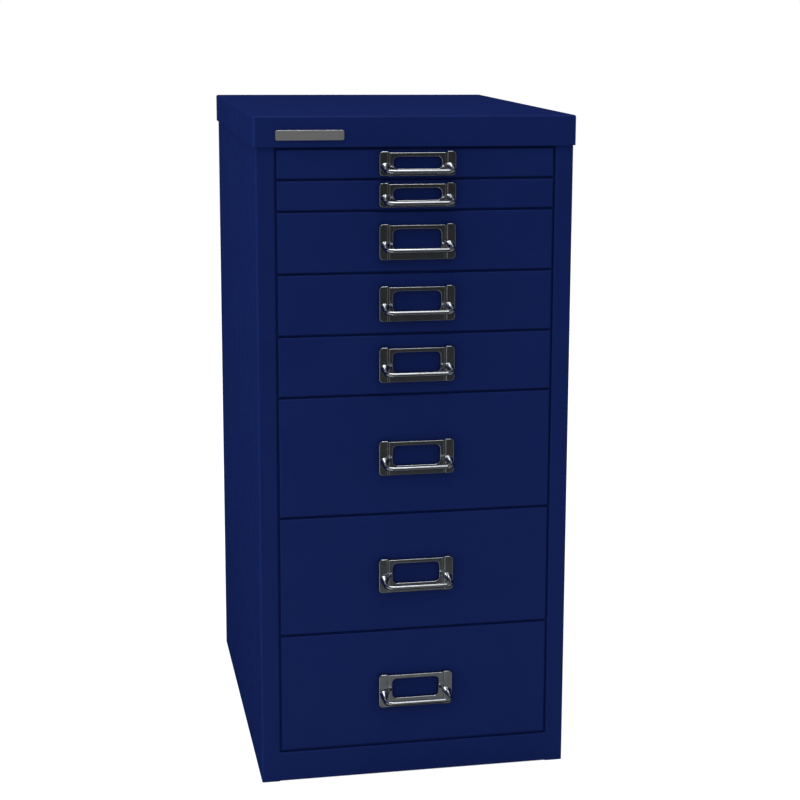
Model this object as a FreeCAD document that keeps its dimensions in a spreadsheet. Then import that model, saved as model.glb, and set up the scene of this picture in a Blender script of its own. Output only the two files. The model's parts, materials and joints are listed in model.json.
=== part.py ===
import FreeCAD, Part
import math
import os
import Sketcher

# A narrow desk-high steel cabinet with eight drawers: two shallow, three middle
# and three deep. The case is folded sheet under a separate cap. Each drawer is a
# folded tray whose top lips run in a pair of channels, with a double-skinned
# front and a cast handle that also holds a label card.
#
# Millimetres, +Z up, +X to the right, drawers open towards -Y. The origin is
# the middle of the whole cabinet's footprint, on the floor.

doc = FreeCAD.newDocument("drawer_cabinet")
sheet = doc.addObject("Spreadsheet::Sheet", "Sizes")


class Size:
    """A length together with the spreadsheet formula that gives it."""

    def __init__(self, value, formula):
        self.value = value
        self.formula = formula

    def __add__(self, other):
        other = as_size(other)
        return Size(self.value + other.value, f"({self.formula} + {other.formula})")

    def __radd__(self, other):
        return as_size(other) + self

    def __sub__(self, other):
        other = as_size(other)
        return Size(self.value - other.value, f"({self.formula} - {other.formula})")

    def __rsub__(self, other):
        return as_size(other) - self

    def __mul__(self, factor):
        factor = as_size(factor)
        return Size(self.value * factor.value, f"({self.formula} * {factor.formula})")

    def __rmul__(self, factor):
        return as_size(factor) * self

    def __truediv__(self, divisor):
        return Size(self.value / divisor, f"({self.formula} / {divisor})")

    def __neg__(self):
        return Size(-self.value, f"(-{self.formula})")


def as_size(number):
    """A plain number becomes a Size, and a Size stays as it is."""
    if isinstance(number, Size):
        return number
    return Size(number, str(number))


rows_used = 0


def size(alias, value):
    """Write a driving dimension into the spreadsheet and return it as a Size."""
    global rows_used
    rows_used += 1
    sheet.set(f"A{rows_used}", alias)
    sheet.set(f"B{rows_used}", str(value))
    sheet.setAlias(f"B{rows_used}", alias)
    return Size(value, f"Sizes.{alias}")


# Case.
cap_width = size("cap_width", 279.0)
cap_depth = size("cap_depth", 380.0)
cap_skirt = size("cap_skirt", 26.0)
cap_overhang = size("cap_overhang", 1.8)
cap_hem = size("cap_hem", 6.0)
cap_top_round = size("cap_top_round", 1.8)
cap_corner_round = size("cap_corner_round", 2.4)
case_sheet = size("case_sheet", 1.0)
case_bend = size("case_bend", 1.6)
stile_width = size("stile_width", 16.2)
stile_return = size("stile_return", 14.0)
rear_flange = size("rear_flange", 14.0)
plinth_height = size("plinth_height", 27.0)
plinth_lift = size("plinth_lift", 0.5)
rail_depth = size("rail_depth", 18.0)
pan_rim = size("pan_rim", 18.0)
back_flange = size("back_flange", 10.0)

# Drawer fronts. A shallow drawer is one unit high, the others two and four.
unit_pitch = size("unit_pitch", 26.75)
front_gap = size("front_gap", 2.0)
side_gap = size("side_gap", 1.5)
front_depth = size("front_depth", 12.0)
front_sheet = size("front_sheet", 1.0)
front_bend = size("front_bend", 1.3)
front_hem = size("front_hem", 4.5)

# Drawer trays.
tray_sheet = size("tray_sheet", 1.0)
rear_space = size("rear_space", 24.4)
tray_lift = size("tray_lift", 2.0)
tray_bend = size("tray_bend", 1.5)
inner_skin_inset = size("inner_skin_inset", 1.5)
lip_drop = size("lip_drop", 5.75)
lip_width = size("lip_width", 6.4)
lip_hem = size("lip_hem", 3.0)

# Runners, their posts and the drawer's travel.
runner_sheet = size("runner_sheet", 0.8)
runner_inset = size("runner_inset", 0.4)
runner_setback = size("runner_setback", 2.0)
lip_side_clearance = size("lip_side_clearance", 0.7)
lip_top_clearance = size("lip_top_clearance", 0.7)
lip_seat_clearance = size("lip_seat_clearance", 0.3)
flange_tip_clearance = size("flange_tip_clearance", 1.3)
end_clearance = size("end_clearance", 0.3)
held_length = size("held_length", 50.0)
stop_length = size("stop_length", 10.0)
stop_height = size("stop_height", 1.5)
slide_pad_length = size("slide_pad_length", 14.0)
slide_pad_clearance = size("slide_pad_clearance", 0.15)
post_width = size("post_width", 26.0)
post_foot = size("post_foot", 8.0)
post_inset = size("post_inset", 10.0)
post_end_gap = size("post_end_gap", 12.0)

# Handles.
plate_width = size("plate_width", 66.5)
plate_height = size("plate_height", 31.0)
shallow_plate_height = size("shallow_plate_height", 21.0)
plate_thickness = size("plate_thickness", 3.0)
cheek_width = size("cheek_width", 7.6)
cheek_thickness = size("cheek_thickness", 4.0)
cheek_rise = size("cheek_rise", 1.2)
plate_corner = size("plate_corner", 3.4)
window_width = size("window_width", 42.0)
window_corner = size("window_corner", 4.0)
top_rail = size("top_rail", 3.5)
bottom_rail = size("bottom_rail", 8.4)
shallow_bottom_rail = size("shallow_bottom_rail", 6.0)
card_slot = size("card_slot", 1.0)
card_seat = size("card_seat", 2.0)
groove_width = size("groove_width", 1.2)
groove_depth = size("groove_depth", 0.7)
pull_drop = size("pull_drop", 5.3)
pull_reach = size("pull_reach", 21.0)
pull_radius = size("pull_radius", 2.0)
pull_half = size("pull_half", 29.3)
pull_bend = size("pull_bend", 5.5)
root_drop = size("root_drop", 3.6)
root_radius = size("root_radius", 5.8)
root_inset = size("root_inset", 6.0)
flare_length = size("flare_length", 11.5)
deep_handle_drop = size("deep_handle_drop", 2.5)

# Screws that hold a handle from inside the drawer.
screw_radius = size("screw_radius", 1.95)
screw_bite = size("screw_bite", 4.6)
screw_hole_clearance = size("screw_hole_clearance", 0.1)
screw_head_radius = size("screw_head_radius", 3.5)
screw_head_height = size("screw_head_height", 2.8)

# Heights of the drawers in units, from the top one down.
DRAWER_UNITS = (1, 1, 2, 2, 2, 4, 4, 4)
SHALLOW_UNITS = 1
DEEP_UNITS = 4

# Pulls, screws and screw holes are drawn with flats, few enough to keep them light.
ROUND_FLATS = 8
HEXAGON = 6

# Places worked out from the sizes above. Y is counted from the plane of the
# drawer fronts, which is also the plane of the stiles.
reach = pull_reach + pull_radius
front_plane = (reach - cap_depth + cap_overhang) / 2
slots_base = plinth_height + front_gap / 2
slots_height = unit_pitch * sum(DRAWER_UNITS)
cap_bottom = slots_base + slots_height + front_gap / 2
case_top = cap_bottom + cap_skirt
under_cap = case_top - case_sheet
case_half = cap_width / 2 - cap_overhang
case_depth = cap_depth - cap_overhang * 2
wall_inside = case_half - case_sheet
opening_half = case_half - stile_width
front_half = opening_half - side_gap
runner_outside = opening_half - runner_inset
runner_web = runner_outside - runner_sheet
lip_outside = runner_web - lip_side_clearance
tray_half = lip_outside - lip_width
flange_tip = tray_half + flange_tip_clearance
tray_back = case_depth - rear_space
tray_length = tray_back - front_depth
travel = tray_length - held_length
runner_front = stile_return + runner_setback
runner_back = tray_back + end_clearance
stop_back = tray_back - slide_pad_length - travel - end_clearance
root_centre = plate_width / 2 - root_inset
hole_radius = screw_radius + screw_hole_clearance

X = 0
Y = 1
Z = 2
NEAR = 0.01


def new_body(label, y=front_plane, z=None):
    """A body placed at the height z, with its own Y counted from the plane y."""
    body = doc.addObject("PartDesign::Body", label)
    body.Label = label
    body.Placement.Base = FreeCAD.Vector(0, y.value, 0)
    body.setExpression("Placement.Base.y", y.formula)
    if z is not None:
        body.setExpression("Placement.Base.z", z.formula)
    return body


def new_sketch(body, name, role, offset=0):
    """A sketch on one of the body's origin planes, offset along its normal."""
    plane = next(f for f in body.Origin.OriginFeatures if f.Role == role)
    sketch = body.newObject("Sketcher::SketchObject", f"{body.Label}_{name}")
    sketch.AttachmentSupport = [(plane, "")]
    sketch.MapMode = "FlatFace"
    offset = as_size(offset)
    sketch.setExpression("AttachmentOffset.Base.z", offset.formula)
    return sketch


def front_view(body, name, y=0):
    """A sketch seen from the front: its own axes are X and Z, at the depth y."""
    return new_sketch(body, name, "XZ_Plane", -as_size(y))


def plan_view(body, name, z=0):
    """A sketch seen from above: its own axes are X and Y, at the height z."""
    return new_sketch(body, name, "XY_Plane", z)


def side_view(body, name, x=0):
    """A sketch seen from the side: its own axes are Y and Z, at the place x."""
    return new_sketch(body, name, "YZ_Plane", x)


def bind(sketch, kind, geometry, point, wanted):
    """Hold one coordinate of a point of the sketch at a size."""
    constraint = Sketcher.Constraint(kind, -1, 1, geometry, point, wanted.value)
    index = sketch.addConstraint(constraint)
    sketch.setExpression(f"Constraints[{index}]", wanted.formula)


def draw_polygon(sketch, points):
    """A closed outline through the points, each coordinate bound to its size."""
    points = [(as_size(u), as_size(v)) for u, v in points]
    first = sketch.GeometryCount
    count = len(points)
    for i in range(count):
        start = points[i]
        end = points[(i + 1) % count]
        a = FreeCAD.Vector(start[0].value, start[1].value, 0)
        b = FreeCAD.Vector(end[0].value, end[1].value, 0)
        sketch.addGeometry(Part.LineSegment(a, b), False)
    for i in range(count):
        following = first + (i + 1) % count
        joint = Sketcher.Constraint("Coincident", first + i, 2, following, 1)
        sketch.addConstraint(joint)
    for i in range(count):
        bind(sketch, "DistanceX", first + i, 1, points[i][0])
        bind(sketch, "DistanceY", first + i, 1, points[i][1])


def draw_rectangle(sketch, u0, v0, u1, v1):
    draw_polygon(sketch, [(u0, v0), (u1, v0), (u1, v1), (u0, v1)])


def draw_flats(sketch, u, v, radius, count):
    """A regular polygon with its flats at the radius, one of them facing along u."""
    corner = radius * (1 / math.cos(math.pi / count))
    points = []
    for i in range(count):
        angle = math.pi * (2 * i + 1) / count
        points.append((u + corner * math.cos(angle), v + corner * math.sin(angle)))
    draw_polygon(sketch, points)


def folded(points, thickness, side=1):
    """The closed section of a sheet folded square along a path of points.

    The sheet lies to the left of the path, or to its right where side is -1.
    """
    points = [(as_size(u), as_size(v)) for u, v in points]
    normals = []
    for start, end in zip(points, points[1:]):
        du = end[0].value - start[0].value
        dv = end[1].value - start[1].value
        if abs(du) > abs(dv):
            normals.append((0, side if du > 0 else -side))
        else:
            normals.append((-side if dv > 0 else side, 0))
    offset = []
    for i, (u, v) in enumerate(points):
        before = normals[max(i - 1, 0)]
        after = normals[min(i, len(normals) - 1)]
        along_u = before[0] or after[0]
        along_v = before[1] or after[1]
        offset.append((u + thickness * along_u, v + thickness * along_v))
    return points + offset[::-1]


def pad(body, sketch, length, backwards=False):
    """Extrude the sketch along its normal, or against it where backwards."""
    feature = body.newObject("PartDesign::Pad", f"{sketch.Label}_pad")
    feature.Profile = sketch
    feature.Reversed = backwards
    feature.setExpression("Length", as_size(length).formula)
    return feature


def pocket(body, sketch, depth, backwards=False):
    """Cut the sketch against its normal, or along it where backwards."""
    doc.recompute()
    before = body.Shape.Volume
    feature = body.newObject("PartDesign::Pocket", f"{sketch.Label}_cut")
    feature.Profile = sketch
    feature.Reversed = backwards
    feature.setExpression("Length", as_size(depth).formula)
    doc.recompute()
    if body.Shape.Volume >= before - NEAR:
        raise RuntimeError(f"{feature.Label} cuts nothing")
    return feature


def edges_along(body, axis, places):
    """Names of the straight edges along an axis that pass through the places.

    A place is the pair of the other two coordinates, in the order X, Y, Z.
    """
    others = [i for i in (X, Y, Z) if i != axis]
    names = []
    for number, edge in enumerate(body.Tip.Shape.Edges, start=1):
        if len(edge.Vertexes) != 2:
            continue
        a, b = (vertex.Point for vertex in edge.Vertexes)
        if any(abs(a[i] - b[i]) > NEAR for i in others):
            continue
        for place in places:
            if all(abs(a[i] - as_size(p).value) < NEAR for i, p in zip(others, place)):
                names.append(f"Edge{number}")
    return names


def edges_in_plane(body, axis, place):
    """Names of the edges that lie in the plane where a coordinate is place."""
    names = []
    for number, edge in enumerate(body.Tip.Shape.Edges, start=1):
        box = edge.BoundBox
        low = (box.XMin, box.YMin, box.ZMin)[axis]
        high = (box.XMax, box.YMax, box.ZMax)[axis]
        if abs(low - place.value) < NEAR and abs(high - place.value) < NEAR:
            names.append(f"Edge{number}")
    return names


def dress(body, kind, name, wanted, choose, *where):
    """Round or chamfer the edges that the choosing function finds."""
    doc.recompute()
    base = body.Tip
    edges = choose(body, *where)
    if not edges:
        raise RuntimeError(f"{body.Label} has no edges for {name}")
    feature = body.newObject(f"PartDesign::{kind}", f"{body.Label}_{name}")
    feature.Base = (base, edges)
    feature.setExpression("Radius" if kind == "Fillet" else "Size", wanted.formula)
    return feature


def make_top_cap():
    """A pressed lid with a skirt all round, whose lower edge is hemmed inwards."""
    body = new_body("top_cap", z=cap_bottom)
    half = cap_width / 2
    front = -cap_overhang
    back = front + cap_depth
    block = plan_view(body, "outline")
    draw_rectangle(block, -half, front, half, back)
    pad(body, block, cap_skirt)
    corners = [(-half, front), (half, front), (half, back), (-half, back)]
    dress(body, "Fillet", "corners", cap_corner_round, edges_along, Z, corners)
    dress(body, "Fillet", "brow", cap_top_round, edges_in_plane, Z, cap_skirt)
    mouth = plan_view(body, "mouth")
    draw_rectangle(mouth, -case_half, 0, case_half, case_depth)
    pocket(body, mouth, cap_skirt - case_sheet, backwards=True)
    hollow = plan_view(body, "hollow", cap_hem)
    inside = half - case_sheet
    draw_rectangle(hollow, -inside, front + case_sheet, inside, back - case_sheet)
    pocket(body, hollow, cap_skirt - case_sheet - cap_hem, backwards=True)
    return body


def make_side_panel(label, side):
    """A side wall folded round into the front stile and the rear flange."""
    body = new_body(label)
    path = [
        (opening_half * side, stile_return),
        (opening_half * side, 0),
        (case_half * side, 0),
        (case_half * side, case_depth),
        ((case_half - rear_flange) * side, case_depth),
    ]
    section = plan_view(body, "section")
    draw_polygon(section, folded(path, case_sheet, side))
    pad(body, section, under_cap)
    bends = [(opening_half * side, 0), (case_half * side, 0), (case_half * side, case_depth)]
    dress(body, "Fillet", "bends", case_bend, edges_along, Z, bends)
    return body


def make_back_panel():
    """The back sheet, flanged forwards along both sides and under the cap."""
    body = new_body("back_panel", z=pan_rim)
    face = case_depth - case_sheet
    path = [
        (wall_inside, face - back_flange),
        (wall_inside, face),
        (-wall_inside, face),
        (-wall_inside, face - back_flange),
    ]
    section = plan_view(body, "section")
    draw_polygon(section, folded(path, case_sheet))
    pad(body, section, under_cap - pan_rim)
    flange = plan_view(body, "flange", under_cap - pan_rim - case_sheet)
    draw_rectangle(flange, -wall_inside, face - back_flange, wall_inside, face)
    pad(body, flange, case_sheet)
    return body


def make_base_pan():
    """The floor of the case, a pan with its rim turned up against the walls."""
    body = new_body("base_pan")
    back = case_depth - case_sheet
    block = plan_view(body, "outline")
    draw_rectangle(block, -wall_inside, stile_return, wall_inside, back)
    pad(body, block, pan_rim)
    hollow = plan_view(body, "hollow", case_sheet)
    inside = wall_inside - case_sheet
    draw_rectangle(hollow, -inside, stile_return + case_sheet, inside, back - case_sheet)
    pocket(body, hollow, pan_rim - case_sheet, backwards=True)
    return body


def make_rail(label, path, bends, side):
    """A channel from stile to stile, folded along a path of Y and Z."""
    body = new_body(label)
    section = side_view(body, "section", -opening_half)
    draw_polygon(section, folded(path, case_sheet, side))
    pad(body, section, opening_half * 2)
    dress(body, "Fillet", "bends", case_bend, edges_along, X, bends)
    return body


def make_plinth_rail():
    """The rail under the lowest drawer, standing on the pan with its rear leg."""
    path = [
        (rail_depth, case_sheet),
        (rail_depth, plinth_height),
        (0, plinth_height),
        (0, plinth_lift),
    ]
    bends = [(rail_depth, plinth_height), (0, plinth_height)]
    return make_rail("plinth_rail", path, bends, 1)


def make_header_rail():
    """The rail above the top drawer, hidden behind the skirt of the cap."""
    path = [
        (rail_depth, under_cap),
        (rail_depth, cap_bottom),
        (0, cap_bottom),
        (0, under_cap),
    ]
    bends = [(rail_depth, cap_bottom), (0, cap_bottom)]
    return make_rail("header_rail", path, bends, -1)


def make_post(label, side, front):
    """A hat-section upright on a side wall, which the runners are fixed to."""
    body = new_body(label, z=pan_rim + post_end_gap)
    web = runner_outside + case_sheet
    leg_front = front + post_foot
    leg_back = leg_front + post_width
    path = [
        (wall_inside * side, front),
        (wall_inside * side, leg_front),
        (web * side, leg_front),
        (web * side, leg_back),
        (wall_inside * side, leg_back),
        (wall_inside * side, leg_back + post_foot),
    ]
    section = plan_view(body, "section")
    draw_polygon(section, folded(path, case_sheet, side))
    pad(body, section, under_cap - pan_rim - post_end_gap * 2)
    return body


def make_runners(number, slot, height):
    """The pair of channels of one drawer, with end stops and travel stops."""
    body = new_body(f"runners_{number}", z=slot)
    lip_top = height - lip_drop
    floor_top = lip_top - lip_hem - lip_seat_clearance
    bottom = floor_top - runner_sheet
    top = lip_top + lip_top_clearance + runner_sheet
    channels = front_view(body, "channels", runner_front)
    ends = front_view(body, "ends", runner_back)
    stops = front_view(body, "stops", stop_back)
    for side in (-1, 1):
        path = [
            (flange_tip * side, bottom),
            (runner_outside * side, bottom),
            (runner_outside * side, top),
            (flange_tip * side, top),
        ]
        draw_polygon(channels, folded(path, runner_sheet, side))
        draw_rectangle(ends, flange_tip * side, bottom, runner_outside * side, top)
        tip = (flange_tip + runner_sheet) * side
        draw_rectangle(stops, flange_tip * side, bottom, tip, floor_top + stop_height)
    pad(body, channels, runner_back - runner_front, backwards=True)
    pad(body, ends, runner_sheet, backwards=True)
    pad(body, stops, stop_length)
    return body


def make_drawer_front(number, slot, height, screw_level):
    """The outer skin of a front: a shallow pan, its back edge hemmed inwards."""
    body = new_body(f"drawer_front_{number}", z=slot)
    low = front_gap / 2
    high = height - front_gap / 2
    block = front_view(body, "outline")
    draw_rectangle(block, -front_half, low, front_half, high)
    pad(body, block, front_depth, backwards=True)
    dress(body, "Fillet", "brow", front_bend, edges_in_plane, Y, as_size(0))
    mouth = front_view(body, "mouth", front_depth)
    inside = front_half - front_hem
    draw_rectangle(mouth, -inside, low + front_hem, inside, high - front_hem)
    pocket(body, mouth, front_depth - front_sheet, backwards=True)
    hollow = front_view(body, "hollow", front_depth - front_sheet)
    inside = front_half - front_sheet
    draw_rectangle(hollow, -inside, low + front_sheet, inside, high - front_sheet)
    pocket(body, hollow, front_depth - front_sheet * 2, backwards=True)
    holes = front_view(body, "screw_holes", front_sheet)
    for side in (-1, 1):
        draw_flats(holes, root_centre * side, screw_level, hole_radius, ROUND_FLATS)
    pocket(body, holes, front_sheet, backwards=True)
    return body


def make_drawer_tray(number, slot, height, screw_level):
    """A folded tray: its top lips hang in the runners, its front is the inner skin."""
    body = new_body(f"drawer_tray_{number}", z=slot)
    lip_top = height - lip_drop
    wall = tray_half - tray_sheet
    path = [
        (-lip_outside, lip_top - lip_hem),
        (-lip_outside, lip_top),
        (-wall, lip_top),
        (-wall, tray_lift + tray_sheet),
        (wall, tray_lift + tray_sheet),
        (wall, lip_top),
        (lip_outside, lip_top),
        (lip_outside, lip_top - lip_hem),
    ]
    section = front_view(body, "section", front_depth)
    draw_polygon(section, folded(path, tray_sheet, -1))
    pad(body, section, tray_length, backwards=True)
    end = front_view(body, "rear_wall", tray_back)
    draw_rectangle(end, -tray_half, tray_lift, tray_half, lip_top)
    pad(body, end, tray_sheet)
    bends = [(-tray_half, tray_lift), (tray_half, tray_lift)]
    dress(body, "Fillet", "bends", tray_bend, edges_along, Y, bends)
    skin = front_view(body, "inner_skin", front_depth)
    skin_half = front_half - inner_skin_inset
    skin_low = front_gap / 2 + inner_skin_inset
    draw_rectangle(skin, -skin_half, skin_low, skin_half, height - skin_low)
    pad(body, skin, tray_sheet, backwards=True)
    holes = front_view(body, "screw_holes", front_depth + tray_sheet)
    for side in (-1, 1):
        draw_flats(holes, root_centre * side, screw_level, hole_radius, ROUND_FLATS)
    pocket(body, holes, tray_sheet, backwards=True)
    return body


def make_slide_pads(number, slot, height):
    """Nylon pads under the rear ends of the lips, which slide along the runners."""
    body = new_body(f"slide_pads_{number}", z=slot)
    lip_top = height - lip_drop
    low = lip_top - lip_hem - lip_seat_clearance + slide_pad_clearance
    high = lip_top - tray_sheet
    pads = front_view(body, "outline", tray_back)
    for side in (-1, 1):
        outside = (lip_outside - tray_sheet) * side
        draw_rectangle(pads, tray_half * side, low, outside, high)
    pad(body, pads, slide_pad_length)
    return body


def draw_pull_path(sketch):
    """The centre line of the pull: out from one root, across and back again."""
    start = plate_thickness
    bend_start = pull_reach - pull_bend
    bar_half = pull_half - pull_bend
    spots = [
        (-pull_half, -start),
        (-pull_half, -bend_start),
        (-bar_half, -pull_reach),
        (bar_half, -pull_reach),
        (pull_half, -bend_start),
        (pull_half, -start),
    ]
    flat = [FreeCAD.Vector(u.value, v.value, 0) for u, v in spots]
    slant = pull_bend.value * (1 - 0.5 ** 0.5)
    left = FreeCAD.Vector(flat[1].x + slant, flat[2].y + slant, 0)
    right = FreeCAD.Vector(flat[4].x - slant, flat[3].y + slant, 0)
    sketch.addGeometry(Part.LineSegment(flat[0], flat[1]), False)
    sketch.addGeometry(Part.Arc(flat[1], left, flat[2]), False)
    sketch.addGeometry(Part.LineSegment(flat[2], flat[3]), False)
    sketch.addGeometry(Part.Arc(flat[3], right, flat[4]), False)
    sketch.addGeometry(Part.LineSegment(flat[4], flat[5]), False)
    ends = [(0, 1), (0, 2), (2, 1), (2, 2), (4, 1), (4, 2)]
    for (line, point), (u, v) in zip(ends, spots):
        bind(sketch, "DistanceX", line, point, u)
        bind(sketch, "DistanceY", line, point, v)
    # An arc runs anticlockwise, so its ends are matched to the lines by place.
    for arc, first, last in ((1, (0, 2), (2, 1)), (3, (2, 2), (4, 1))):
        curve = sketch.Geometry[arc]
        meets_first = curve.StartPoint.distanceToPoint(flat[arc]) < NEAR
        near, far = (1, 2) if meets_first else (2, 1)
        sketch.addConstraint(Sketcher.Constraint("Coincident", arc, near, *first))
        sketch.addConstraint(Sketcher.Constraint("Coincident", arc, far, *last))
        bow = sketch.addConstraint(Sketcher.Constraint("Radius", arc, pull_bend.value))
        sketch.setExpression(f"Constraints[{bow}]", pull_bend.formula)


def make_handle(number, level, tall, lower_rail):
    """A cast plate that frames a label card, with a bar pull flared at its roots."""
    body = new_body(f"drawer_handle_{number}", z=level)
    half = plate_width / 2
    bottom = -tall / 2
    frame_top = tall / 2 - cheek_rise
    inner = half - cheek_width

    frame = front_view(body, "frame")
    draw_rectangle(frame, -inner, bottom, inner, frame_top)
    pad(body, frame, plate_thickness)
    cheeks = front_view(body, "cheeks")
    for side in (-1, 1):
        draw_rectangle(cheeks, inner * side, bottom, half * side, -bottom)
    pad(body, cheeks, cheek_thickness)
    corners = [(-half, bottom), (half, bottom), (half, -bottom), (-half, -bottom)]
    dress(body, "Fillet", "corners", plate_corner, edges_along, Y, corners)

    window = front_view(body, "window")
    sill = bottom + lower_rail
    lintel = frame_top - top_rail
    window_half = window_width / 2
    draw_rectangle(window, -window_half, sill, window_half, lintel)
    pocket(body, window, plate_thickness, backwards=True)
    corners = [(u, v) for u in (-window_half, window_half) for v in (sill, lintel)]
    dress(body, "Fillet", "window_corners", window_corner, edges_along, Y, corners)
    slot = front_view(body, "card_slot")
    draw_rectangle(slot, -inner, sill - card_seat, inner, -bottom)
    pocket(body, slot, card_slot, backwards=True)
    grooves = front_view(body, "grooves", -plate_thickness)
    for side in (-1, 1):
        draw_rectangle(grooves, (inner - groove_width) * side, bottom, inner * side, frame_top)
    pocket(body, grooves, groove_depth)

    for side in (-1, 1):
        sections = []
        # Each ring of the flare: its share of the length, of the way over, and of the swell.
        for share, lean, swell in ((0, 0, 1), (0.4, 0.6, 0.35), (1, 1, 0)):
            name = f"flare_{'left' if side < 0 else 'right'}_{len(sections)}"
            ring = front_view(body, name, -(plate_thickness + flare_length * share))
            centre = root_centre + (pull_half - root_centre) * lean
            drop = root_drop + (pull_drop - root_drop) * lean
            radius = pull_radius + (root_radius - pull_radius) * swell
            draw_flats(ring, centre * side, -drop, radius, ROUND_FLATS)
            sections.append(ring)
        flare = body.newObject("PartDesign::AdditiveLoft", f"{sections[0].Label}_loft")
        flare.Profile = sections[0]
        flare.Sections = sections[1:]
        flare.Ruled = True
        doc.recompute()

    path = plan_view(body, "pull_path", -pull_drop)
    draw_pull_path(path)
    ring = front_view(body, "pull_ring", -plate_thickness)
    draw_flats(ring, -pull_half, -pull_drop, pull_radius, ROUND_FLATS)
    doc.recompute()
    pull = body.newObject("PartDesign::AdditivePipe", f"{body.Label}_pull")
    pull.Profile = ring
    pull.Spine = (path, [f"Edge{i}" for i in range(1, 6)])
    doc.recompute()

    holes = front_view(body, "screw_holes")
    for side in (-1, 1):
        draw_flats(holes, root_centre * side, -root_drop, hole_radius, ROUND_FLATS)
    pocket(body, holes, screw_bite + end_clearance, backwards=True)
    return body


def make_handle_screws(number, slot, screw_level):
    """Two hexagon-headed screws through the inner skin and the front."""
    body = new_body(f"handle_screws_{number}", z=slot)
    head_seat = front_depth + tray_sheet
    shanks = front_view(body, "shanks", head_seat)
    heads = front_view(body, "heads", head_seat)
    for side in (-1, 1):
        draw_flats(shanks, root_centre * side, screw_level, screw_radius, ROUND_FLATS)
        draw_flats(heads, root_centre * side, screw_level, screw_head_radius, HEXAGON)
    pad(body, heads, screw_head_height, backwards=True)
    pad(body, shanks, head_seat + screw_bite)
    return body


def make_case():
    front_post = runner_front + post_inset / 2
    rear_post = runner_back - post_inset - post_width - post_foot * 2
    parts = [
        make_top_cap(),
        make_side_panel("left_side_panel", -1),
        make_side_panel("right_side_panel", 1),
        make_back_panel(),
        make_base_pan(),
        make_plinth_rail(),
        make_header_rail(),
        make_post("left_front_post", -1, front_post),
        make_post("left_rear_post", -1, rear_post),
        make_post("right_front_post", 1, front_post),
        make_post("right_rear_post", 1, rear_post),
    ]
    return parts


def make_drawer(number, slot, units):
    """One drawer and its runners, in the slot whose foot is at the height slot."""
    height = unit_pitch * units
    handle_level = height / 2
    tall = plate_height
    lower_rail = bottom_rail
    if units == DEEP_UNITS:
        handle_level = handle_level - deep_handle_drop
    if units == SHALLOW_UNITS:
        tall = shallow_plate_height
        lower_rail = shallow_bottom_rail
    screw_level = handle_level - root_drop
    return [
        make_runners(number, slot, height),
        make_drawer_front(number, slot, height, screw_level),
        make_drawer_tray(number, slot, height, screw_level),
        make_slide_pads(number, slot, height),
        make_handle(number, slot + handle_level, tall, lower_rail),
        make_handle_screws(number, slot, screw_level),
    ]


def check(parts):
    """Stop on any object that failed, and on any sub-part that isn't sound."""
    for item in doc.Objects:
        if "Invalid" in item.State or "Error" in item.State:
            raise RuntimeError(f"{item.Label} failed: {item.State}")
    for body in parts:
        shape = body.Shape
        if shape.isNull() or not shape.isValid() or not shape.Solids:
            raise RuntimeError(f"{body.Label} has no sound solid")


def main():
    parts = make_case()
    units_above = 0
    for number, units in enumerate(DRAWER_UNITS, start=1):
        units_above += units
        slot = slots_base + slots_height - unit_pitch * units_above
        parts += make_drawer(number, slot, units)
    doc.recompute()
    check(parts)
    os.makedirs("parts", exist_ok=True)
    for body in parts:
        body.Shape.exportStep(f"parts/{body.Label}.step")
    print(f"{len(parts)} sub-parts, {sum(len(b.Shape.Solids) for b in parts)} solids")


main()
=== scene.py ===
import bmesh
import bpy
import json
import math
from mathutils import Matrix, Vector


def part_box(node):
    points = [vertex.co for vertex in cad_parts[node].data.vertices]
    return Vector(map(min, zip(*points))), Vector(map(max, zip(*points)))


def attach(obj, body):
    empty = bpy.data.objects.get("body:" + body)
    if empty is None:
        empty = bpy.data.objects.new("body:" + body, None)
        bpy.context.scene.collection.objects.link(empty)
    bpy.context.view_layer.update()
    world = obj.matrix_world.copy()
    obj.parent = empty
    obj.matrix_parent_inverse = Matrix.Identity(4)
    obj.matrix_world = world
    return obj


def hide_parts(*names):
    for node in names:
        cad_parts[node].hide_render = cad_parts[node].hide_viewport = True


MM = 0.001
DRAWERS = range(1, 9)

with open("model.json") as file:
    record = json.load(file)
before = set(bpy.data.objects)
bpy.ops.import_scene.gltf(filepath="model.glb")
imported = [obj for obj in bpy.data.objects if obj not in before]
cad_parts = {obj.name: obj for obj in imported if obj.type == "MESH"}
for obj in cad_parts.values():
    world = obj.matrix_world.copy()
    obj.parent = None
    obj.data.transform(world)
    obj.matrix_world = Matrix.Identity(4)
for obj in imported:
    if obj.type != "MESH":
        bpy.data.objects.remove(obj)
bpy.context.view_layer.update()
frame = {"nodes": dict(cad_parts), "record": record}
scene = bpy.context.scene


# Finishes. Patterns lie in object coordinates, and the sizes of their lumps are in mm,
# one for all directions or one for each of X, Y and Z.

LUMPS = ("ShaderNodeTexNoise", "Fac")
CRYSTALS = ("ShaderNodeTexVoronoi", "Color")

# The tones between which a pattern runs from its one colour or roughness to the other.
DARK_TONE = 0.3
LIGHT_TONE = 0.7


def linear_colour(code):
    """Linear colour, with alpha, from an sRGB hex code."""
    channels = [int(code[i:i + 2], 16) / 255 for i in (1, 3, 5)]
    linear = [c / 12.92 if c <= 0.04045 else ((c + 0.055) / 1.055) ** 2.4 for c in channels]
    return (*linear, 1.0)


def add_node(tree, kind, inputs=(), **settings):
    """A node with its settings, and with a value or a link for each named input.

    A node that is given as an input stands for its first output.
    """
    node = tree.nodes.new(kind)
    for name, value in settings.items():
        setattr(node, name, value)
    for name, value in dict(inputs).items():
        if isinstance(value, bpy.types.Node):
            value = value.outputs[0]
        if isinstance(value, bpy.types.NodeSocket):
            tree.links.new(value, node.inputs[name])
        else:
            node.inputs[name].default_value = value
    return node


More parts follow.
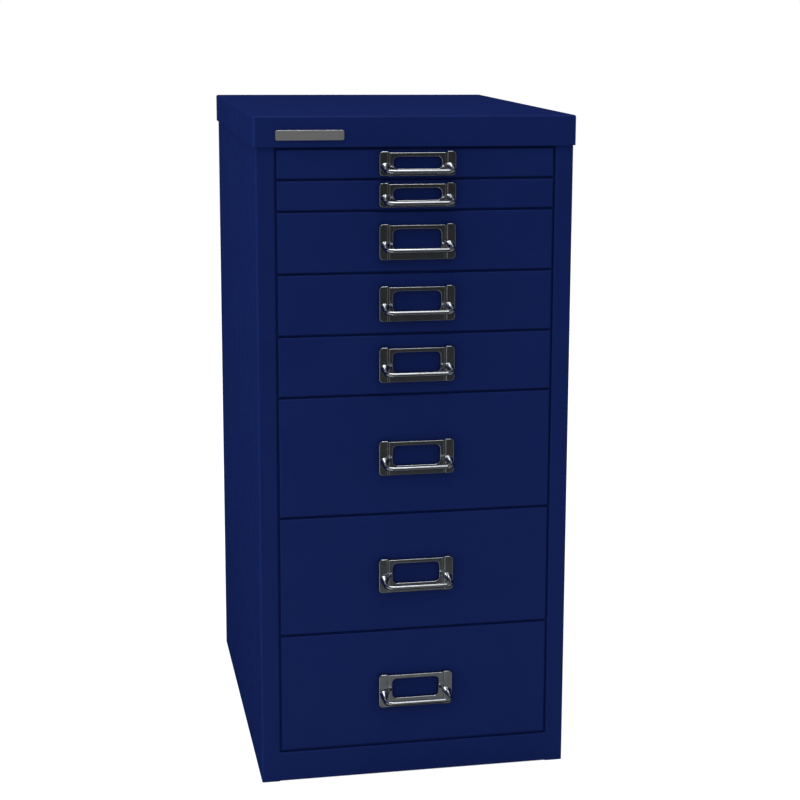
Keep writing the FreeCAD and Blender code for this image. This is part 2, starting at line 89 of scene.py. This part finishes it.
def make_finish(name, colour, tints, mottle, roughness, sheen, relief, constants):
    """A node material whose colour, roughness and relief follow patterns.

    mottle and sheen are the patterns that run between the two tints and the two
    roughnesses. Each row of relief is a pattern, its depth in mm and its strength.
    A pattern is a texture, the size of its lumps and the texture's other inputs.
    """
    material = bpy.data.materials.new(name)
    material.use_nodes = True
    tree = material.node_tree
    tree.nodes.clear()
    place = add_node(tree, "ShaderNodeTexCoord").outputs["Object"]

    tones = []
    for (texture, output), size, others in (mottle, sheen, *(row[0] for row in relief)):
        sizes = size if isinstance(size, tuple) else (size,) * 3
        scale = [1 / (length * MM) for length in sizes]
        scaled = add_node(tree, "ShaderNodeMapping", {"Vector": place, "Scale": scale})
        inputs = {"Vector": scaled, "Scale": 1.0, **others}
        tones.append(add_node(tree, texture, inputs).outputs[output])

    span = {"From Min": DARK_TONE, "From Max": LIGHT_TONE}
    share = add_node(tree, "ShaderNodeMapRange", {"Value": tones[0], **span})
    dark, light = (linear_colour(code) for code in tints)
    colours = {"Factor": share, "A": dark, "B": light}
    tinted = add_node(tree, "ShaderNodeMix", colours, data_type="RGBA").outputs["Result"]

    span.update({"To Min": roughness[0], "To Max": roughness[1]})
    rough = add_node(tree, "ShaderNodeMapRange", {"Value": tones[1], **span})

    normal = {}
    for (_, depth, strength), tone in zip(relief, tones[2:]):
        bump = {"Height": tone, "Distance": depth * MM, "Strength": strength, **normal}
        normal = {"Normal": add_node(tree, "ShaderNodeBump", bump)}

    inputs = {"Base Color": linear_colour(colour), "Roughness": rough, **normal, **constants}
    shader = add_node(tree, "ShaderNodeBsdfPrincipled", inputs)
    tree.links.new(tinted, shader.inputs["Base Color"])
    add_node(tree, "ShaderNodeOutputMaterial", {"Surface": shader})
    return material


# Enamel, sprayed on sheet steel and baked: one even, deep navy with a satin skin that
# mirrors hardly anything. The sprayed film's orange peel and its finer grain are drawn
# coarser than they are, so that they show.
enamel = make_finish(
    "navy baked enamel",
    "#0E1C4B",
    tints=("#0E1B4A", "#0E1D4D"),
    mottle=(LUMPS, 60, {"Detail": 3}),
    roughness=(0.34, 0.42),
    sheen=(LUMPS, 14, {"Detail": 3}),
    relief=(
        ((LUMPS, 2.5, {"Detail": 1}), 0.008, 0.5),
        ((LUMPS, 0.45, {"Detail": 1}), 0.003, 0.5),
    ),
    constants={"Specular IOR Level": 0.025},
)

# Chrome, plated on a polished zinc casting: a cool grey mirror, a little unsteady where
# the polishing left low waves a few millimetres long.
chrome = make_finish(
    "chrome plated casting",
    "#AAADB2",
    tints=("#A4A7AC", "#B1B4B9"),
    mottle=(LUMPS, 9, {}),
    roughness=(0.09, 0.17),
    sheen=(LUMPS, 5, {"Detail": 3}),
    relief=(((LUMPS, 3.5, {"Detail": 1}), 0.02, 0.5),),
    constants={"Metallic": 1.0},
)

# Zinc, plated on steel: a dull grey metal in flat crystals that differ a little in tone.
# The crystals are drawn 5 mm wide, larger than they are, so that they show.
zinc = make_finish(
    "zinc plated steel",
    "#9EA3A6",
    tints=("#92989B", "#AAAFB1"),
    mottle=(CRYSTALS, 5, {}),
    roughness=(0.30, 0.42),
    sheen=(LUMPS, 7, {"Detail": 3}),
    relief=(((LUMPS, 1.2, {}), 0.01, 0.5),),
    constants={"Metallic": 1.0},
)

# Nylon, moulded without dye: off-white, with the fine dull skin of the mould.
nylon = make_finish(
    "natural moulded nylon",
    "#D9D6CB",
    tints=("#D4D1C5", "#DEDBD1"),
    mottle=(LUMPS, 4, {}),
    roughness=(0.48, 0.60),
    sheen=(LUMPS, 1.5, {}),
    relief=(((LUMPS, 0.6, {}), 0.02, 0.5),),
    constants={"Specular IOR Level": 0.4},
)

# Aluminium, brushed lengthwise: pale streaks along X that blur what it mirrors. The marks
# are drawn 0.18 mm wide, several times the width of the real ones, so that they show.
BRUSH_MARKS = (LUMPS, (10.8, 0.18, 0.18), {"Detail": 3})
aluminium = make_finish(
    "brushed aluminium",
    "#B4B4B6",
    tints=("#ACACAF", "#BDBDBE"),
    mottle=BRUSH_MARKS,
    roughness=(0.44, 0.54),
    sheen=BRUSH_MARKS,
    relief=((BRUSH_MARKS, 0.01, 0.4),),
    constants={"Metallic": 1.0},
)

FINISHES = {"case_paint": enamel, "chrome": chrome, "zinc_steel": zinc, "nylon": nylon}

for row in frame["record"]["subparts"]:
    node = frame["nodes"][row["node"]]
    node.data.materials.clear()
    node.data.materials.append(FINISHES[row["material_slot"]])


# Plates stand upright: their outlines lie in X and Z, and they face -Y. A rectangle is
# its left, right, low and high side, and its radii start at the lower left corner.

CORNER_STEPS = 5
EDGE_STEPS = 3
SHARPEST_CORNER = 0.05 * MM
SHARP_ANGLE = math.radians(35)
DRAWN_IN = -1
OPENED_OUT = 1


def outline(bm, rectangle, radii, grow, y):
    """The edges of a rectangle at depth y, grown all round, with its corners rounded."""
    left, right, low, high = rectangle
    left, right, low, high = left - grow, right + grow, low - grow, high + grow
    old_edges, old_faces = set(bm.edges), set(bm.faces)
    spots = (left, low), (right, low), (right, high), (left, high)
    corners = [bm.verts.new((x, y, z)) for x, z in spots]
    bm.faces.new(corners)
    for corner, radius in zip(corners, radii):
        bmesh.ops.bevel(
            bm,
            geom=[corner],
            offset=max(radius + grow, SHARPEST_CORNER),
            offset_type="OFFSET",
            affect="VERTICES",
            segments=CORNER_STEPS,
            profile=0.5,
            material=-1,
        )
    filling = [face for face in bm.faces if face not in old_faces]
    bmesh.ops.delete(bm, geom=filling, context="FACES_ONLY")
    return [edge for edge in bm.edges if edge not in old_edges]


def bridge(bm, loops):
    """Faces from each closed loop of edges to the next."""
    for one, two in zip(loops, loops[1:]):
        bmesh.ops.bridge_loops(bm, edges=one + two)


def wall(bm, back, front, rectangle, radii, edge, way):
    """The wall round a plate or its window, rounded in front by edge; gives its end loops."""
    loops = [outline(bm, rectangle, radii, 0.0, back)]
    for step in range(EDGE_STEPS + 1 if edge else 1):
        turn = math.pi / 2 * step / EDGE_STEPS
        grow = way * edge * (1 - math.cos(turn))
        loops.append(outline(bm, rectangle, radii, grow, front + edge * (1 - math.sin(turn))))
    bridge(bm, loops)
    return loops[0], loops[-1]


def plate(bm, back, front, rim, window=None):
    """A plate between two depths, with a window through it where one is given.

    rim and window are each a rectangle, its corner radii and the rounding of its edge.
    """
    ends = wall(bm, back, front, *rim, DRAWN_IN)
    if window is None:
        for loop in ends:
            bmesh.ops.edgeloop_fill(bm, edges=loop)
        return
    openings = wall(bm, back, front, *window, OPENED_OUT)
    for loop, opening in zip(ends, openings):
        bmesh.ops.triangle_fill(bm, edges=loop + opening, use_beauty=True, normal=(0, -1, 0))


def add_piece(bm, name, body, material):
    """The mesh as a piece that rides on a body of the part."""
    bmesh.ops.recalc_face_normals(bm, faces=bm.faces)
    mesh = bpy.data.meshes.new(name)
    bm.to_mesh(mesh)
    bm.free()
    mesh.shade_smooth()
    mesh.set_sharp_from_angle(angle=SHARP_ANGLE)
    mesh.materials.append(material)
    piece = bpy.data.objects.new(name, mesh)
    scene.collection.objects.link(piece)
    piece.modifiers.new("flat_faces", "WEIGHTED_NORMAL").keep_sharp = True
    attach(piece, body)
    return piece


# Handles: a card frame between two raised cheeks, and a pull on flared roots. The cheeks
# have round corners outside and crisp ones where they meet the grooves of the frame.

FRAME_THICKNESS = 3.0 * MM
FRAME_EDGE = 0.55 * MM
TOP_RAIL = 3.5 * MM
BOTTOM_RAIL = 8.4 * MM
SHALLOW_BOTTOM_RAIL = 6.0 * MM
SHALLOW_HEIGHT = 25 * MM

WINDOW_HALF = 21.0 * MM
WINDOW_CORNER = 4.0 * MM
WINDOW_EDGE = 0.6 * MM

CHEEK_THICKNESS = 4.0 * MM
CHEEK_WIDTH = 7.6 * MM
CHEEK_RISE = 1.2 * MM
CHEEK_CORNER = 3.4 * MM
CHEEK_EDGE = 0.7 * MM
CRISP_CORNER = 0.3 * MM

GROOVE_WIDTH = 1.2 * MM
GROOVE_DEPTH = 0.7 * MM
GROOVE_CORNER = 0.1 * MM
GROOVE_EDGE = 0.05 * MM

PULL_DROP = 5.3 * MM
PULL_RADIUS = 2.0 * MM
PULL_HALF = 29.3 * MM
PULL_BEND = 6.0 * MM
PULL_REACH = 21.0 * MM
PULL_SIDES = 32
BEND_STEPS = 10

ROOT_DROP = 1.8 * MM
ROOT_HALF_WIDTH = 4.6 * MM
ROOT_HALF_HEIGHT = 3.0 * MM
ROOT_INSET = 4.8 * MM
ROOT_SINK = 0.8 * MM
ROOT_SPREAD = 0.4 * MM
FLARE_LENGTH = 10.5 * MM
FLARE_CURVE = 1.6
FLARE_STEPS = 16


def arm_sections(plate_half):
    """Sections of the right arm, from its root in the plate to the bar.

    Each is the middle's x, its reach in front of the drawer, its drop below the plate's
    middle, and the section's half width and half height. The flare shrinks fastest at the
    root, while the arm leans out and down and then eases into the line of the bend.
    """
    root = plate_half - ROOT_INSET
    sunk = FRAME_THICKNESS - ROOT_SINK
    sizes = ROOT_HALF_WIDTH + ROOT_SPREAD, ROOT_HALF_HEIGHT + ROOT_SPREAD
    sections = [(root, sunk, ROOT_DROP, *sizes)]
    for step in range(FLARE_STEPS + 1):
        way = step / FLARE_STEPS
        swell = (1 - way) ** FLARE_CURVE
        lean = way * (3 - way * way) / 2
        sections.append((
            root + (PULL_HALF - root) * lean,
            FRAME_THICKNESS + FLARE_LENGTH * way,
            ROOT_DROP + (PULL_DROP - ROOT_DROP) * lean,
            PULL_RADIUS + (ROOT_HALF_WIDTH - PULL_RADIUS) * swell,
            PULL_RADIUS + (ROOT_HALF_HEIGHT - PULL_RADIUS) * swell,
        ))
    for step in range(BEND_STEPS + 1):
        turn = math.pi / 2 * step / BEND_STEPS
        x = PULL_HALF - PULL_BEND * (1 - math.cos(turn))
        reach = PULL_REACH - PULL_BEND * (1 - math.sin(turn))
        sections.append((x, reach, PULL_DROP, PULL_RADIUS, PULL_RADIUS))
    return sections


def pull(bm, plate_half, face, level):
    """The bar and both arms in one sweep, from the left root round to the right one."""
    arm = arm_sections(plate_half)
    sections = [(-x, *others) for x, *others in arm] + arm[::-1]
    middles = [Vector((x, face - reach, level - drop)) for x, reach, drop, *_ in sections]
    upright = Vector((0, 0, 1))
    rings = []
    for i, (*_, half_width, half_height) in enumerate(sections):
        along = middles[min(i + 1, len(middles) - 1)] - middles[max(i - 1, 0)]
        across = Vector((-along.y, along.x, 0)).normalized()
        axes = across * half_width, upright * half_height, across.cross(upright)
        shape = Matrix(axes).transposed().to_4x4()
        ring = bmesh.ops.create_circle(
            bm, segments=PULL_SIDES, radius=1.0, matrix=Matrix.Translation(middles[i]) @ shape
        )
        rings.append(list({edge for vert in ring["verts"] for edge in vert.link_edges}))
    bridge(bm, rings)
    for end in (rings[0], rings[-1]):
        bmesh.ops.edgeloop_fill(bm, edges=end)


def make_handle(number):
    low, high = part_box(f"drawer_handle_{number}")
    half = high.x
    seat = high.y
    face = seat - FRAME_THICKNESS
    step = half - CHEEK_WIDTH
    card_half = step - GROOVE_WIDTH
    frame_top = high.z - CHEEK_RISE
    shallow = high.z - low.z < SHALLOW_HEIGHT
    sill = low.z + (SHALLOW_BOTTOM_RAIL if shallow else BOTTOM_RAIL)
    lintel = frame_top - TOP_RAIL

    bm = bmesh.new()
    rim = (-card_half, card_half, low.z, frame_top), (CRISP_CORNER,) * 4, FRAME_EDGE
    window = (-WINDOW_HALF, WINDOW_HALF, sill, lintel), (WINDOW_CORNER,) * 4, WINDOW_EDGE
    plate(bm, seat, face, rim, window)
    outer, inner = CHEEK_CORNER, CRISP_CORNER
    for cheek, groove, radii in (
        ((-half, -step), (-step, -card_half), (outer, inner, inner, outer)),
        ((step, half), (card_half, step), (inner, outer, outer, inner)),
    ):
        rim = (*cheek, low.z, high.z), radii, CHEEK_EDGE
        plate(bm, seat, seat - CHEEK_THICKNESS, rim)
        rim = (*groove, low.z, frame_top), (GROOVE_CORNER,) * 4, GROOVE_EDGE
        plate(bm, seat, face + GROOVE_DEPTH, rim)
    pull(bm, half, seat, (high.z + low.z) / 2)
    handle = add_piece(bm, f"handle_{number}", f"drawer_{number}", chrome)
    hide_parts(f"drawer_handle_{number}")


for number in DRAWERS:
    make_handle(number)


# Rims behind the drawer faces. They stand out into the gaps and close them behind.

RIM_SETBACK = 2.2 * MM
RIM_THICKNESS = 0.8 * MM
RIM_CORNER = 0.6 * MM
RIM_EDGE = 0.2 * MM
RIM_LAP = 0.5 * MM
RIM_SIDE = 1.35 * MM
RIM_BETWEEN = 0.9 * MM
RIM_END = 1.85 * MM


def make_rim(number):
    low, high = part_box(f"drawer_front_{number}")
    above = RIM_END if number == DRAWERS[0] else RIM_BETWEEN
    below = RIM_END if number == DRAWERS[-1] else RIM_BETWEEN
    outside = low.x - RIM_SIDE, high.x + RIM_SIDE, low.z - below, high.z + above
    inside = low.x + RIM_LAP, high.x - RIM_LAP, low.z + RIM_LAP, high.z - RIM_LAP
    corners = (RIM_CORNER,) * 4
    front = low.y + RIM_SETBACK
    bm = bmesh.new()
    rim, window = (outside, corners, RIM_EDGE), (inside, corners, 0.0)
    plate(bm, front + RIM_THICKNESS, front, rim, window)
    add_piece(bm, f"front_rim_{number}", f"drawer_{number}", enamel)


for number in DRAWERS:
    make_rim(number)


# Ground welds that fill the folds of the stiles, flush, beside the ends of the plinth rail.

FOLD = 1.6 * MM
FOLD_STEPS = 8
WELD_OVERLAP = 0.02 * MM
WELD_DIAGONAL = 1.7 * MM


def make_plinth_weld(name, side):
    """A strip with its top rounded as the rail's is, and its back cut off inside the fold."""
    low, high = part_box("plinth_rail")
    corner = Vector((side * high.x, low.y, low.z))
    size = Vector((FOLD + WELD_OVERLAP, FOLD, high.z - low.z))
    middle = corner + Vector((side * (FOLD - WELD_OVERLAP), FOLD, size.z)) / 2
    bm = bmesh.new()
    shape = Matrix.Translation(middle) @ Matrix.Diagonal((*size, 1))
    bmesh.ops.create_cube(bm, size=1.0, matrix=shape)
    top, front = high.z - WELD_OVERLAP, low.y + WELD_OVERLAP
    fold = [
        edge for edge in bm.edges
        if all(vert.co.z > top and vert.co.y < front for vert in edge.verts)
    ]
    bmesh.ops.bevel(
        bm,
        geom=fold,
        offset=FOLD - WELD_OVERLAP,
        offset_type="OFFSET",
        affect="EDGES",
        segments=FOLD_STEPS,
        profile=0.5,
        material=-1,
    )
    cut = bmesh.ops.bisect_plane(
        bm,
        geom=bm.verts[:] + bm.edges[:] + bm.faces[:],
        plane_co=corner + Vector((0, WELD_DIAGONAL, 0)),
        plane_no=(side, 1, 0),
        clear_outer=True,
    )
    rim = [part for part in cut["geom_cut"] if isinstance(part, bmesh.types.BMEdge)]
    bmesh.ops.edgeloop_fill(bm, edges=rim)
    add_piece(bm, name, "cabinet", enamel)


make_plinth_weld("left_plinth_weld", -1)
make_plinth_weld("right_plinth_weld", 1)


# A plain plate on the front of the cap.

BLANK_LEFT = -121.0 * MM
BLANK_LIFT = 5.6 * MM
BLANK_LENGTH = 58.0 * MM
BLANK_HEIGHT = 8.6 * MM
BLANK_THICKNESS = 1.4 * MM
BLANK_CORNER = 1.5 * MM
BLANK_EDGE = 0.4 * MM


def make_blank_plate():
    low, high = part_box("top_cap")
    bottom = low.z + BLANK_LIFT
    rectangle = BLANK_LEFT, BLANK_LEFT + BLANK_LENGTH, bottom, bottom + BLANK_HEIGHT
    bm = bmesh.new()
    plate(bm, low.y, low.y - BLANK_THICKNESS, (rectangle, (BLANK_CORNER,) * 4, BLANK_EDGE))
    add_piece(bm, "blank_plate", "cabinet", aluminium)


make_blank_plate()


# Studio: white to the camera. Metal and enamel mirror a dim room instead, which is
# darkest straight in front of the cabinet and a little lighter to both sides.
#
# A patch of light is a product of smooth steps. Each step has an axis of the direction
# or place, the values along it between which it runs, and the light before and after.
# The X of FLOOR_NEAR is the distance from the cabinet's middle.

FRONT_DARK = 0.04
LEFT_GLOW = 0.26
RIGHT_GLOW = 0.16
CEILING_GLOW = 1.3
REAR_SHARE = 0.03
WHITE = (1, 1, 1, 1)

REAR_DIMMED = ("Y", 0.1, 0.6, 1.0, REAR_SHARE)
LEFT_WALL = (("X", -0.02, -0.25, FRONT_DARK, LEFT_GLOW), REAR_DIMMED)
RIGHT_WALL = (("X", 0.33, 0.50, 0.0, RIGHT_GLOW), REAR_DIMMED)
CEILING_STRIP = (
    ("Z", 0.30, 0.42, 0.0, CEILING_GLOW),
    ("X", -0.04, 0.04, 0.0, 1.0),
    ("X", 0.36, 0.28, 0.0, 1.0),
    REAR_DIMMED,
)
ROOM = (LEFT_WALL, RIGHT_WALL, CEILING_STRIP)
SOFT_FILL = (
    (("Z", -0.1, 1.0, 0.07, 1.2),),
    (("X", -0.3, -1.0, 0.0, 0.85),),
    (("X", 0.3, 1.0, 0.0, 0.85),),
)
FLOOR_AHEAD = (("Y", -0.20, -0.32, 0.0, 1.0),)
FLOOR_NEAR = (("X", 0.4, 0.9, 0.10, 0.0),)

FLOOR_HALF = 4.0
FLOOR_DROP = 0.4 * MM
FLOOR_TONE = (0.8, 0.8, 0.8, 1)
FLOOR_GLOW = 1.22
FLOOR_GLOW_SHARE = 0.7


def brightness(tree, vector, patches):
    """The light of all the patches, where the vector points."""
    axes = add_node(tree, "ShaderNodeSeparateXYZ", {"Vector": vector}).outputs
    total = 0.0
    for patch in patches:
        light = 1.0
        for axis, start, end, before, after in patch:
            span = {"From Min": start, "From Max": end, "To Min": before, "To Max": after}
            span["Value"] = axes[axis]
            step = add_node(tree, "ShaderNodeMapRange", span, interpolation_type="SMOOTHSTEP")
            light = add_node(tree, "ShaderNodeMath", {0: light, 1: step}, operation="MULTIPLY")
        total = add_node(tree, "ShaderNodeMath", {0: total, 1: light}, operation="ADD")
    return total


def make_world():
    world = bpy.data.worlds.new("studio")
    world.use_nodes = True
    scene.world = world
    tree = world.node_tree
    tree.nodes.clear()
    rays = add_node(tree, "ShaderNodeLightPath").outputs
    direction = add_node(tree, "ShaderNodeTexCoord").outputs["Generated"]
    fill, room, white = (
        add_node(tree, "ShaderNodeBackground", {"Color": WHITE, "Strength": strength})
        for strength in (
            brightness(tree, direction, SOFT_FILL),
            brightness(tree, direction, ROOM),
            1.0,
        )
    )
    lit = add_node(tree, "ShaderNodeMixShader", {0: rays["Is Glossy Ray"], 1: fill, 2: room})
    clear = {0: rays["Is Camera Ray"], 1: rays["Is Transmission Ray"]}
    clear = add_node(tree, "ShaderNodeMath", clear, operation="MAXIMUM")
    shown = add_node(tree, "ShaderNodeMixShader", {0: clear, 1: lit, 2: white})
    add_node(tree, "ShaderNodeOutputWorld", {"Surface": shown})


def floor_material():
    """Matt floor paint: white to the camera with the soft shadow in it, dim in a mirror."""
    material = bpy.data.materials.new("pale matt floor")
    material.use_nodes = True
    tree = material.node_tree
    tree.nodes.clear()
    rays = add_node(tree, "ShaderNodeLightPath").outputs
    place = add_node(tree, "ShaderNodeTexCoord").outputs["Object"]
    distance = add_node(tree, "ShaderNodeVectorMath", {0: place}, operation="LENGTH")
    distance = add_node(tree, "ShaderNodeCombineXYZ", {"X": distance.outputs["Value"]})
    direction = add_node(tree, "ShaderNodeVectorMath", {0: place}, operation="NORMALIZE")
    near = brightness(tree, distance, (FLOOR_NEAR,))
    room = brightness(tree, direction, ROOM)
    ahead = brightness(tree, place, (FLOOR_AHEAD,))
    dim = add_node(tree, "ShaderNodeMath", {0: near, 1: room}, operation="ADD")
    dim = add_node(tree, "ShaderNodeMath", {0: dim, 1: ahead}, operation="MULTIPLY")
    grey = add_node(tree, "ShaderNodeCombineColor", {"Red": dim, "Green": dim, "Blue": dim})
    tones = {"Factor": rays["Is Glossy Ray"], "A": FLOOR_TONE, "B": grey.outputs["Color"]}
    tone = add_node(tree, "ShaderNodeMix", tones, data_type="RGBA").outputs["Result"]
    matt = add_node(tree, "ShaderNodeBsdfDiffuse", {"Color": tone})
    glow = add_node(tree, "ShaderNodeEmission", {"Strength": FLOOR_GLOW})
    share = {0: rays["Is Camera Ray"], 1: FLOOR_GLOW_SHARE}
    share = add_node(tree, "ShaderNodeMath", share, operation="MULTIPLY")
    shown = add_node(tree, "ShaderNodeMixShader", {0: share, 1: matt, 2: glow})
    add_node(tree, "ShaderNodeOutputMaterial", {"Surface": shown})
    return material


def make_floor():
    bm = bmesh.new()
    level = Matrix.Translation((0, 0, -FLOOR_DROP))
    bmesh.ops.create_grid(bm, x_segments=1, y_segments=1, size=FLOOR_HALF, matrix=level)
    mesh = bpy.data.meshes.new("floor")
    bm.to_mesh(mesh)
    bm.free()
    mesh.materials.append(floor_material())
    floor = bpy.data.objects.new("floor", mesh)
    scene.collection.objects.link(floor)


def make_lamp(name, place, target, size, power, mirrored):
    data = bpy.data.lights.new(name, "AREA")
    data.shape = "RECTANGLE"
    data.size, data.size_y = size
    data.energy = power
    lamp = bpy.data.objects.new(name, data)
    turn = (Vector(target) - Vector(place)).to_track_quat("-Z", "Y").to_matrix().to_4x4()
    lamp.matrix_world = Matrix.Translation(place) @ turn
    lamp.visible_glossy = mirrored
    scene.collection.objects.link(lamp)


make_world()
make_floor()
make_lamp(
    "overhead",
    place=(-0.3, -0.4, 1.9),
    target=(0, -0.05, 0.3),
    size=(1.4, 0.5),
    power=15,
    mirrored=True,
)
make_lamp(
    "left",
    place=(-1.75, -0.35, 0.75),
    target=(0, -0.1, 0.2),
    size=(0.30, 1.2),
    power=18,
    mirrored=False,
)


# Camera, at the photograph's viewing angle.

IMAGE_PX = 800.0
FOCAL_PX = 1813.2
CENTRE_X_PX, CENTRE_Y_PX = 460.0, 345.0
CAMERA_PLACE = Vector((-289.2, -1696.5, 677.9)) * MM
YAW = math.radians(12.18)
PITCH = math.radians(10.46)
ROLL = math.radians(0.51)


def make_camera():
    data = bpy.data.cameras.new("camera")
    data.lens = FOCAL_PX * data.sensor_width / IMAGE_PX
    data.shift_x = (IMAGE_PX / 2 - CENTRE_X_PX) / IMAGE_PX
    data.shift_y = (CENTRE_Y_PX - IMAGE_PX / 2) / IMAGE_PX
    camera = bpy.data.objects.new("camera", data)
    ahead = Vector((math.sin(YAW), math.cos(YAW), 0)) * math.cos(PITCH)
    ahead.z = -math.sin(PITCH)
    level = Vector((math.cos(YAW), -math.sin(YAW), 0))
    upright = level.cross(ahead)
    right = level * math.cos(ROLL) + upright * math.sin(ROLL)
    up = upright * math.cos(ROLL) - level * math.sin(ROLL)
    turn = Matrix((right, up, -ahead)).transposed().to_4x4()
    camera.matrix_world = Matrix.Translation(CAMERA_PLACE) @ turn
    scene.collection.objects.link(camera)
    scene.camera = camera


make_camera()
scene.view_settings.view_transform = "Standard"
